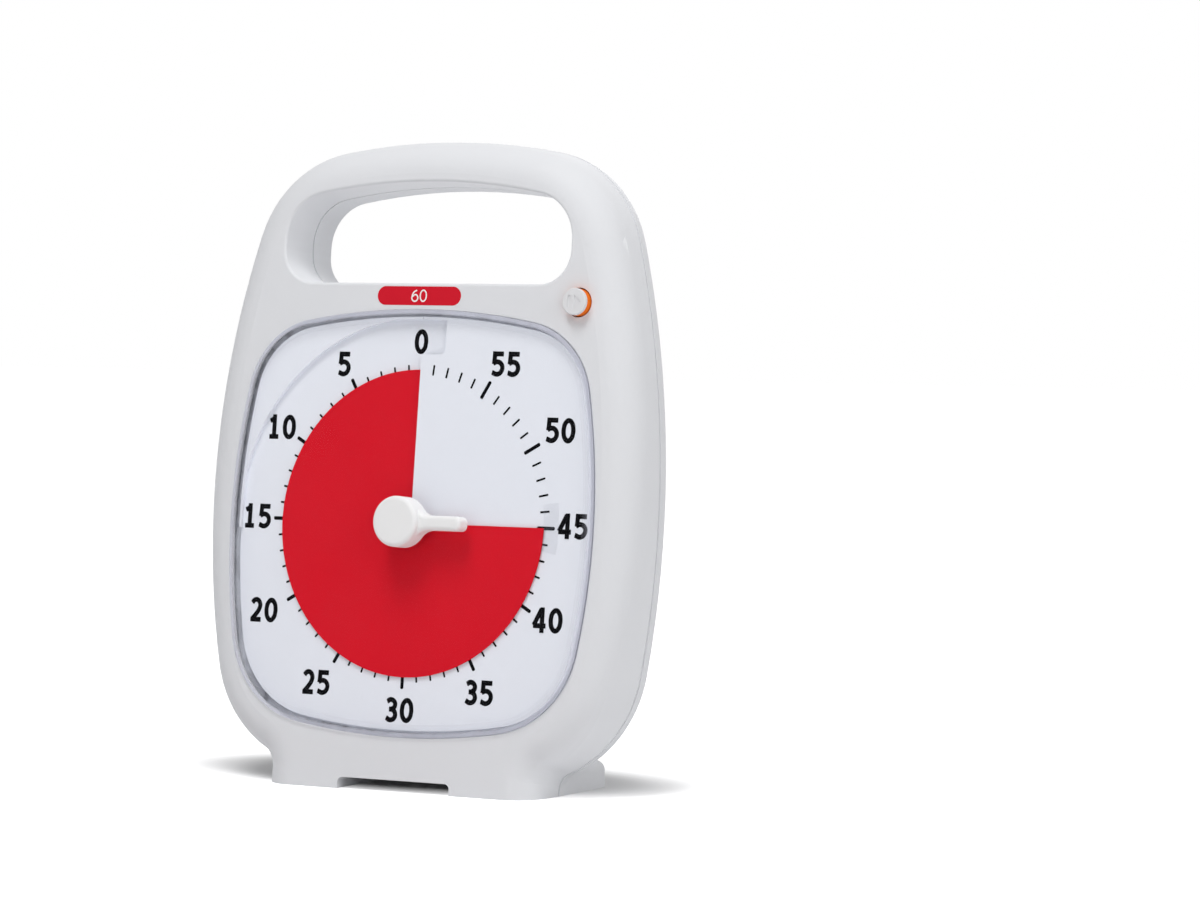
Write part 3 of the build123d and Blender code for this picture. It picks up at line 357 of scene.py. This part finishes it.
def dial_sheet(name, rgb):
    """Matte dial with a faint orange peel and fainter clouds."""
    peel_size, peel_depth, cloud_size = 0.5 * MM, 0.002 * MM, 30.0 * MM
    finish = Finish(name)
    peel = finish.noise(peel_size)
    clouds = finish.noise(cloud_size)
    base = finish.mix(clouds, tint(rgb, 0.985), tint(rgb, 1.01))
    return finish.surface(
        Base_Color=base, Roughness=peel * 0.05 + 0.55, Normal=finish.bump(peel, peel_depth))


def ink(name, rgb):
    """Printed ink: dense, matte and a little uneven."""
    grain_size, grain_depth = 0.2 * MM, 0.002 * MM
    finish = Finish(name)
    grain = finish.noise(grain_size, detail=3.0)
    base = finish.mix(grain, rgb, tint(rgb, 1.1))
    return finish.surface(
        Base_Color=base, Roughness=grain * 0.12 + 0.55, Specular_IOR_Level=0.02,
        Normal=finish.bump(grain, grain_depth))


def red_sheet(name, rgb):
    """The disc's matte sheet with a faint grain."""
    grain_size, grain_depth, cloud_size = 0.3 * MM, 0.002 * MM, 20.0 * MM
    finish = Finish(name)
    grain = finish.noise(grain_size, detail=3.0)
    clouds = finish.noise(cloud_size)
    base = finish.mix(clouds, tint(rgb, 0.97), tint(rgb, 1.03))
    return finish.surface(
        Base_Color=base, Roughness=grain * 0.10 + 0.60, Specular_IOR_Level=0.08,
        Normal=finish.bump(grain, grain_depth))


def circuit(name):
    """Solder mask over copper tracks."""
    cells_per_metre, track_edge, track_height = 260.0, (0.03, 0.06), 0.02 * MM
    finish = Finish(name)
    cells = finish.node(
        "ShaderNodeTexVoronoi", {"feature": "DISTANCE_TO_EDGE"},
        {"Vector": finish.stretched((1.0, 0.2, 1.0)), "Scale": cells_per_metre})[0]
    tracks = 1.0 - cells.step(*track_edge)
    base = finish.mix(tracks, colour(18, 82, 44), colour(44, 122, 66))
    return finish.surface(
        Base_Color=base, Roughness=tracks * 0.1 + 0.28, Normal=finish.bump(tracks, track_height))


def cell_wrap(name):
    """The battery's printed sleeve: dark, with a copper-coloured end and bare metal at its tip."""
    copper_length, bare_length, grain_size = 13.0 * MM, 1.0 * MM, 0.6 * MM
    finish = Finish(name)
    along = finish.node("ShaderNodeSeparateXYZ", None, {"Vector": finish.place()})[0]
    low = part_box("battery_cell")[0][0]
    copper = 1.0 - along.step(low + copper_length, low + copper_length + 0.3 * MM)
    bare = 1.0 - along.step(low + bare_length, low + bare_length + 0.2 * MM)
    grain = finish.noise(grain_size)
    sleeve = finish.mix(copper, colour(38, 42, 52), colour(176, 112, 62))
    base = finish.mix(bare, sleeve, colour(190, 190, 188))
    return finish.surface(
        Base_Color=base, Metallic=bare * 0.9 + 0.05, Roughness=grain * 0.1 + 0.25)


# ---------------------------------------------------------------- modelling


def only(obj):
    """Selects one object and makes it active."""
    bpy.ops.object.select_all(action="DESELECT")
    obj.select_set(True)
    bpy.context.view_layer.objects.active = obj


def apply_place(obj, matrix):
    """Puts a piece in its place and moves that place into its mesh."""
    only(obj)
    obj.matrix_world = matrix @ obj.matrix_world
    bpy.ops.object.transform_apply(location=True, rotation=True, scale=True)


def joined(name, pieces):
    """Several pieces as one mesh."""
    only(pieces[0])
    for piece in pieces:
        piece.select_set(True)
    if len(pieces) > 1:
        bpy.ops.object.join()
    whole = bpy.context.object
    whole.name = name
    return whole


def copied(piece):
    """A copy of a piece with its own mesh."""
    only(piece)
    bpy.ops.object.duplicate()
    return bpy.context.object


def paint(obj, material):
    obj.data.materials.clear()
    obj.data.materials.append(material)


def finish_node(names, material):
    """Gives CAD nodes a finish on the slots that they have."""
    for name in names:
        for slot in frame["nodes"][name].material_slots:
            slot.material = material


def own_piece(obj, body, material):
    """Colours a new piece, and says which body carries it and whose finish it has."""
    paint(obj, material)
    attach(obj, body)


def bar(length, width, thickness, rounding):
    """A flat bar along X with rounded corners, centred at the origin, in millimetres."""
    bpy.ops.mesh.primitive_cube_add(size=1.0)
    piece = bpy.context.object
    piece.scale = (length, width, thickness)
    bpy.ops.object.transform_apply(location=True, rotation=True, scale=True)
    group = piece.vertex_groups.new(name="corners")
    group.add(range(len(piece.data.vertices)), 1.0, "REPLACE")
    weights = piece.data.attributes.new("bevel_weight_edge", "FLOAT", "EDGE")
    for edge in piece.data.edges:
        first, second = (piece.data.vertices[index].co for index in edge.vertices)
        is_upright = abs(first.z - second.z) > thickness / 2
        weights.data[edge.index].value = 1.0 if is_upright else 0.0
    bevel = piece.modifiers.new("corners", "BEVEL")
    bevel.limit_method = "WEIGHT"
    bevel.width = rounding
    bevel.segments = 8
    bpy.ops.object.modifier_apply(modifier="corners")
    return piece


def drawn(strokes, width, depth):
    """A flat drawing from strokes of one width, in millimetres.

    A stroke is its points and whether it closes."""
    bpy.ops.curve.primitive_bezier_curve_add()
    drawing = bpy.context.object
    line = drawing.data
    line.splines.clear()
    line.dimensions = "3D"
    line.bevel_depth = width / 2
    line.bevel_resolution = 1
    line.resolution_u = 7
    line.use_fill_caps = True
    for points, closes in strokes:
        spline = line.splines.new("BEZIER")
        spline.bezier_points.add(len(points) - 1)
        spline.use_cyclic_u = closes
        for knot, (x, y) in zip(spline.bezier_points, points):
            knot.co = (x, y, 0.0)
            knot.handle_left_type = "AUTO"
            knot.handle_right_type = "AUTO"
    only(drawing)
    bpy.ops.object.convert(target="MESH")
    drawing = bpy.context.object
    drawing.location = (0.0, 0.0, 0.0)
    drawing.scale = (1.0, 1.0, depth / width)
    bpy.ops.object.transform_apply(location=True, rotation=True, scale=True)
    return drawing


def digit_strokes(digit, half):
    """A digit's centre lines in a box 1 wide and 1 high.

    half is half a stroke's width as a share of the box's height. It lengthens the upright strokes,
    so that their flat ends reach as far as the other strokes' sides."""
    low, high = -half, 1.0 + half
    shapes = {
        0: [([(0.5, 1.0), (0.14, 0.86), (0.0, 0.60), (0.0, 0.40), (0.14, 0.14), (0.5, 0.0),
              (0.86, 0.14), (1.0, 0.40), (1.0, 0.60), (0.86, 0.86)], True)],
        1: [([(0.50, 0.0), (0.50, 0.5), (0.50, high)], False),
            ([(0.50, 0.95), (0.28, 0.86), (0.02, 0.80)], False),
            ([(0.0, 0.0), (0.5, 0.0), (1.0, 0.0)], False)],
        2: [([(0.05, 0.84), (0.30, 0.98), (0.62, 0.99), (0.92, 0.80), (0.86, 0.55),
              (0.50, 0.26), (0.10, 0.02)], False),
            ([(-0.08, 0.0), (0.5, 0.0), (1.08, 0.0)], False)],
        3: [([(0.04, 0.90), (0.42, 1.0), (0.86, 0.86), (0.84, 0.64), (0.52, 0.53),
              (0.28, 0.52)], False),
            ([(0.28, 0.52), (0.60, 0.51), (0.94, 0.34), (0.88, 0.10), (0.44, -0.01),
              (-0.02, 0.09)], False)],
        4: [([(0.66, 1.04), (0.28, 0.64), (-0.10, 0.25)], False),
            ([(-0.16, 0.22), (0.5, 0.22), (1.16, 0.22)], False),
            ([(0.76, low), (0.76, 0.5), (0.76, high)], False)],
        5: [([(0.10, 1.0), (0.5, 1.0), (1.06, 1.0)], False),
            ([(0.12, high), (0.10, 0.75), (0.06, 0.50)], False),
            ([(0.0, 0.53), (0.42, 0.61), (0.88, 0.48), (0.94, 0.20), (0.52, 0.0),
              (-0.10, 0.08)], False)],
        6: [([(0.80, 0.99), (0.30, 0.82), (0.02, 0.45), (0.06, 0.15), (0.50, 0.0),
              (0.94, 0.16), (0.94, 0.44), (0.54, 0.60), (0.10, 0.42)], False)],
    }
    return shapes[digit]


def number(value, height, stroke, narrowness, depth):
    """A number centred at the origin, in millimetres; narrowness is a digit's width to height."""
    digit_gap = 0.10 * height
    tall = height - stroke
    wide = tall * narrowness
    pitch = wide + stroke + digit_gap
    digits = [int(character) for character in str(value)]
    drawings = []
    for place, digit in enumerate(digits):
        shift = (place - (len(digits) - 1) / 2) * pitch - wide / 2
        strokes = [([(x * wide + shift, (y - 0.5) * tall) for x, y in points], closes)
                   for points, closes in digit_strokes(digit, stroke / tall / 2)]
        drawings.append(drawn(strokes, stroke, depth))
    return joined("number_" + str(value), drawings)


def on_face(right, up, out, turn=0.0):
    """A place on the dial's plane, in millimetres and degrees, for a piece in millimetres."""
    return (FACE @ Matrix.Scale(MM, 4) @ Matrix.Translation((right, up, out))
            @ Matrix.Rotation(math.radians(turn), 4, "Z"))


def dial_level(turn, pitch):
    """The dial's height at an angle from +U, in millimetres.

    The ramp starts one pitch low at the slot and climbs anticlockwise."""
    climbed = (turn - QUARTER_TURN) % FULL_TURN / FULL_TURN
    return pitch * (climbed - 1.0)


# ---------------------------------------------------------------- operators


class TIMER_OT_stage(Operator):
    """Sets up the camera, the lamps, the world and the floor"""
    bl_idname = "timer.stage"
    bl_label = "Stage"

    sensor_width = 36.0
    nearest_seen = 0.05
    # Each lamp's place and the length of its side, in metres, and the setting with its power.
    lamp_kinds = {
        "key_lamp": ((0.02, -0.44, 1.02), 0.40, "key_power"),
        "fill_lamp": ((1.00, -0.42, 0.55), 0.90, "fill_power"),
        "back_lamp": ((0.00, 0.95, 0.60), 0.80, "back_power"),
    }
    # The shadow's patch fades into the glowing floor between these shares of its reach. In the
    # patch the floor glows less and its colour is darker: a painted shadow, under the timer's real
    # one.
    fade = (0.58, 1.05)
    # The floor's colour in the patch, as a share of its colour: painted shadow.
    patch_tint = 0.78
    glow_strength = 0.7
    floor_cloud_size = 40.0 * MM

    def execute(self, context):
        settings = context.scene.timer_stage
        self.camera(context, settings)
        self.lamps(settings)
        self.floor(settings)
        self.world(context, settings)
        context.scene.view_settings.view_transform = "Standard"
        return {"FINISHED"}

    def camera(self, context, settings):
        bpy.ops.object.camera_add(location=DIAL_CENTRE + Vector(settings.camera_place))
        camera = context.object
        # An unturned camera looks down, so it is first raised to look along +Y.
        turn = (Matrix.Rotation(settings.camera_heading, 4, "Z")
                @ Matrix.Rotation(settings.camera_pitch, 4, "X")
                @ Matrix.Rotation(settings.camera_roll, 4, "Y")
                @ Matrix.Rotation(math.radians(QUARTER_TURN), 4, "X"))
        camera.rotation_euler = turn.to_euler()
        camera.data.lens = settings.lens
        camera.data.sensor_width = self.sensor_width
        camera.data.clip_start = self.nearest_seen
        context.scene.camera = camera

    def lamps(self, settings):
        for name, (place, size, power) in self.lamp_kinds.items():
            bpy.ops.object.light_add(type="AREA", location=place)
            lamp = bpy.context.object
            lamp.name = name
            lamp.data.size = size
            lamp.data.energy = getattr(settings, power)
            aim = DIAL_CENTRE - Vector(place)
            lamp.rotation_euler = aim.to_track_quat("-Z", "Y").to_euler()

    def floor(self, settings):
        """A floor that shows the timer's shadow on one patch, over a painted shadow there, and
        glows white all round it.
        """
        bpy.ops.mesh.primitive_plane_add(size=settings.floor_size)
        floor = bpy.context.object
        floor.name = "floor"
        finish = Finish("pale_floor")
        clouds = finish.noise(self.floor_cloud_size)
        pale = settings.floor_colour
        even = finish.mix(clouds, tint(pale, 0.995), tint(pale, 1.005))
        offset = finish.vector_math("SUBTRACT", finish.place(), settings.shadow_place)
        share = finish.vector_math("DIVIDE", offset, settings.shadow_reach)
        # 0 in the patch and 1 round it: the patch gets a darker colour and no glow, a painted
        #                                shadow.
        away = finish.vector_math("LENGTH", share).step(*self.fade)
        base = finish.mix(away, tint(pale, self.patch_tint), even)
        matte = finish.node("ShaderNodeBsdfDiffuse", None, {"Color": base})[0]
        glow = finish.node(
            "ShaderNodeEmission", None, {"Color": WHITE, "Strength": away * self.glow_strength})[0]
        lit = finish.node("ShaderNodeAddShader", None, {0: matte, 1: glow})[0]
        finish.show(finish.mix_shader(finish.seen(), matte, lit))
        paint(floor, finish.material)

    def world(self, context, settings):
        """Even light on things, behind which the camera sees plain white."""
        world = bpy.data.worlds.new("studio")
        context.scene.world = world
        world.use_nodes = True
        shading = Shading(world.node_tree, "ShaderNodeOutputWorld")
        light, backdrop = (
            shading.node("ShaderNodeBackground", None, {"Color": WHITE, "Strength": strength})[0]
            for strength in (settings.ambient, 1.0))
        shading.show(shading.mix_shader(shading.seen(), light, backdrop))


class TIMER_OT_shells(Operator):
    """Finishes the shells, the battery door and the lens"""
    bl_idname = "timer.shells"
    bl_label = "Shells and lens"

    def execute(self, context):
        settings = context.scene.timer_shells
        white = moulded("shell_white", settings.shell_colour, roughness=0.42,
                        grain=settings.grain_size, depth=0.006 * MM, cloud=0.012)
        finish_node(("front_shell", "rear_shell", "battery_door"), white)
        finish_node(("window_lens",), clear_lens("lens_clear", settings.lens_tint))
        return {"FINISHED"}


class TIMER_OT_dial(Operator):
    """Finishes the dial and prints its marks and numerals"""
    bl_idname = "timer.dial"
    bl_label = "Dial"

    # All in millimetres; the long marks' length and place are in the settings.
    mark_thickness = 0.06
    long_width = 0.98
    long_rounding = 0.40
    short_length = 2.9
    short_width = 0.54
    short_rounding = 0.18
    short_radius = 42.45
    minutes_to_a_long_mark = 5

    numeral_thickness = 0.16
    numeral_lift = 0.02
    numeral_narrowness = 0.53
    # Half the width of a numeral of one digit, and of one of two.
    numeral_half_widths = (2.2, 4.8)
    # Where the numerals' middles are, along U and V.
    numeral_places = {
        0: (-1.0, 50.2), 5: (-25.6, 43.6), 10: (-45.0, 25.6), 15: (-51.2, 0.4),
        20: (-47.1, -25.8), 25: (-28.2, -45.1), 30: (-0.5, -51.4), 35: (24.7, -45.4),
        40: (45.0, -24.8), 45: (51.2, 0.8), 50: (45.6, 26.6), 55: (27.3, 44.3)}

    def execute(self, context):
        settings = context.scene.timer_dial
        finish_node(("dial_plate",), dial_sheet("dial_white", settings.dial_colour))
        black = ink("dial_ink", settings.ink_colour)
        self.marks(settings, black)
        self.numerals(settings, black)
        return {"FINISHED"}

    def marks(self, settings, black):
        """Prints a mark at each minute but 0, where the slot is."""
        long_mark = bar(settings.mark_end - settings.mark_start, self.long_width,
                        self.mark_thickness, self.long_rounding)
        short_mark = bar(self.short_length, self.short_width,
                         self.mark_thickness, self.short_rounding)
        long_radius = (settings.mark_start + settings.mark_end) / 2
        marks = []
        for minute in range(1, settings.minutes):
            turn = QUARTER_TURN + FULL_TURN * minute / settings.minutes
            is_long = minute % self.minutes_to_a_long_mark == 0
            mark = copied(long_mark if is_long else short_mark)
            radius = long_radius if is_long else self.short_radius
            level = dial_level(turn, settings.ramp_pitch) + self.mark_thickness / 2
            outward = Matrix.Translation((radius, 0.0, 0.0))
            apply_place(mark, on_face(0.0, 0.0, level, turn) @ outward)
            marks.append(mark)
        for pattern in (long_mark, short_mark):
            bpy.data.objects.remove(pattern)
        own_piece(joined("dial_marks", marks), "housing", black)

    def numerals(self, settings, black):
        """Prints the numerals, each as high as the dial's highest point under its corners."""
        numerals = []
        half_high = settings.numeral_height / 2
        for minute, (right, up) in self.numeral_places.items():
            shape = number(minute, settings.numeral_height, settings.numeral_stroke,
                           self.numeral_narrowness, self.numeral_thickness)
            half_wide = self.numeral_half_widths[len(str(minute)) - 1]
            corners = [math.degrees(math.atan2(up + y, right + x))
                       for x in (-half_wide, half_wide) for y in (-half_high, half_high)]
            level = max(dial_level(turn, settings.ramp_pitch) for turn in corners)
            if minute == 0:
                # The 0 reaches over the slot and lies on the ramp's low end.
                level = -settings.ramp_pitch
            apply_place(shape, on_face(right, up, level + self.numeral_lift))
            numerals.append(shape)
        own_piece(joined("dial_numerals", numerals), "housing", black)


class TIMER_OT_disc(Operator):
    """Finishes the disc, its hub and the clear tab on its leading edge"""
    bl_idname = "timer.disc"
    bl_label = "Disc"

    def execute(self, context):
        settings = context.scene.timer_dial
        finish_node(("red_disc",), red_sheet("disc_red", settings.disc_colour))
        finish_node(("lead_tab",), clear_tab("tab_clear", colour(206, 206, 226)))
        finish_node(("disc_hub",), moulded("hub_plastic", colour(225, 224, 218), roughness=0.35))
        return {"FINISHED"}


class TIMER_OT_controls(Operator):
    """Finishes the knob, the start button and the volume dial"""
    bl_idname = "timer.controls"
    bl_label = "Controls"

    def execute(self, context):
        orange = context.scene.timer_label.orange
        finish_node(("setting_knob",), moulded(
            "knob_white", colour(238, 238, 238), roughness=0.38,
            grain=0.25 * MM, depth=0.003 * MM, cloud=0.01))
        finish_node(("start_button",), moulded(
            "button_white", colour(222, 222, 224), roughness=0.36,
            grain=0.25 * MM, depth=0.003 * MM, cloud=0.01))
        finish_node(("button_stem",), moulded(
            "button_orange", orange, roughness=0.32,
            grain=0.25 * MM, depth=0.002 * MM, cloud=0.02))
        finish_node(("volume_dial",), moulded(
            "volume_white", colour(206, 207, 210), roughness=0.42,
            grain=0.3 * MM, depth=0.004 * MM, cloud=0.012))
        return {"FINISHED"}


class TIMER_OT_label(Operator):
    """Prints the pill-shaped label above the window"""
    bl_idname = "timer.label"
    bl_label = "Label"

    # The shell's face over the dial's centre, and the pill's middle along U and V.
    face_level = 1.0
    middle = (-1.1, 62.65)
    pill_thickness = 0.06
    # What the pill's rounding leaves straight at each end, so that its corners don't meet.
    straight_left = 0.02
    number_thickness = 0.04

    def execute(self, context):
        settings = context.scene.timer_label
        pill = bar(settings.pill_length, settings.pill_height, self.pill_thickness,
                   settings.pill_height / 2 - self.straight_left)
        pill_level = self.face_level + self.pill_thickness / 2
        apply_place(pill, on_face(*self.middle, pill_level))
        pill.name = "label_pill"
        own_piece(pill, "housing", ink("label_red", settings.pill_colour))
        digits = number(60, height=3.5, stroke=0.42, narrowness=0.62, depth=self.number_thickness)
        number_level = self.face_level + self.pill_thickness + self.number_thickness / 2
        apply_place(digits, on_face(*self.middle, number_level))
        digits.name = "label_number"
        own_piece(digits, "housing", ink("label_white", colour(246, 240, 240)))
        return {"FINISHED"}


class TIMER_OT_works(Operator):
    """Finishes the frame, the gears, the motor and the screws"""
    bl_idname = "timer.works"
    bl_label = "Works"

    def execute(self, context):
        finish_node(("movement_frame", "gear_cover"),
                    moulded("frame_grey", colour(150, 154, 160), roughness=0.5))
        finish_node(("output_gear", "intermediate_gear", "motor_pinion"),
                    moulded("gear_plastic", colour(232, 229, 216), roughness=0.34,
                            grain=0.2 * MM, depth=0.002 * MM))
        finish_node(("knob_shaft", "gear_axle", "clutch_washer"),
                    metal("turned_steel", colour(186, 186, 188), roughness=0.28))
        finish_node(("drive_motor",), metal("can_steel", colour(196, 197, 199), roughness=0.34))
        screws = ("shell_screws", "frame_screws", "cover_screws", "motor_screws", "board_screws")
        finish_node(screws, metal("screw_steel", colour(172, 173, 176), roughness=0.32,
                                  stretch=(1.0, 1.0, 1.0)))
        return {"FINISHED"}


class TIMER_OT_electrics(Operator):
    """Finishes the board, the switch, the speaker and the battery with its contacts"""
    bl_idname = "timer.electrics"
    bl_label = "Electrics"

    def execute(self, context):
        finish_node(("circuit_board",), circuit("board_green"))
        finish_node(("board_components", "push_switch", "switch_plunger", "volume_pot"),
                    moulded("chip_black", colour(34, 34, 37), roughness=0.5, grain=0.2 * MM))
        finish_node(("speaker",),
                    moulded("speaker_black", colour(30, 30, 33), roughness=0.6,
                            grain=0.5 * MM, depth=0.02 * MM))
        finish_node(("battery_cell",), cell_wrap("cell_wrap"))
        finish_node(("contact_plate", "contact_spring"),
                    metal("contact_nickel", colour(202, 200, 194), roughness=0.24))
        return {"FINISHED"}


class TIMER_PT_sidebar(Panel):
    """Lists the timer's steps in the order in which they run"""
    bl_idname = "TIMER_PT_sidebar"
    bl_label = "Timer"
    bl_space_type = "VIEW_3D"
    bl_region_type = "UI"
    bl_category = "Timer"

    def draw(self, context):
        for step in STEPS:
            self.layout.operator(step.bl_idname)


SETTINGS = {
    "timer_stage": StageSettings,
    "timer_shells": ShellSettings,
    "timer_dial": DialSettings,
    "timer_label": LabelSettings,
}
STEPS = (TIMER_OT_stage, TIMER_OT_shells, TIMER_OT_dial, TIMER_OT_disc, TIMER_OT_controls,
         TIMER_OT_label, TIMER_OT_works, TIMER_OT_electrics)


def register():
    for kind in (*SETTINGS.values(), *STEPS, TIMER_PT_sidebar):
        bpy.utils.register_class(kind)
    for name, kind in SETTINGS.items():
        setattr(bpy.types.Scene, name, PointerProperty(type=kind))


def unregister():
    for name in SETTINGS:
        delattr(bpy.types.Scene, name)
    for kind in reversed((*SETTINGS.values(), *STEPS, TIMER_PT_sidebar)):
        bpy.utils.unregister_class(kind)


def main():
    register()
    bpy.ops.timer.stage()
    bpy.ops.timer.shells()
    bpy.ops.timer.dial()
    bpy.ops.timer.disc()
    bpy.ops.timer.controls()
    bpy.ops.timer.label()
    bpy.ops.timer.works()
    bpy.ops.timer.electrics()


if __name__ == "__main__":
    main()
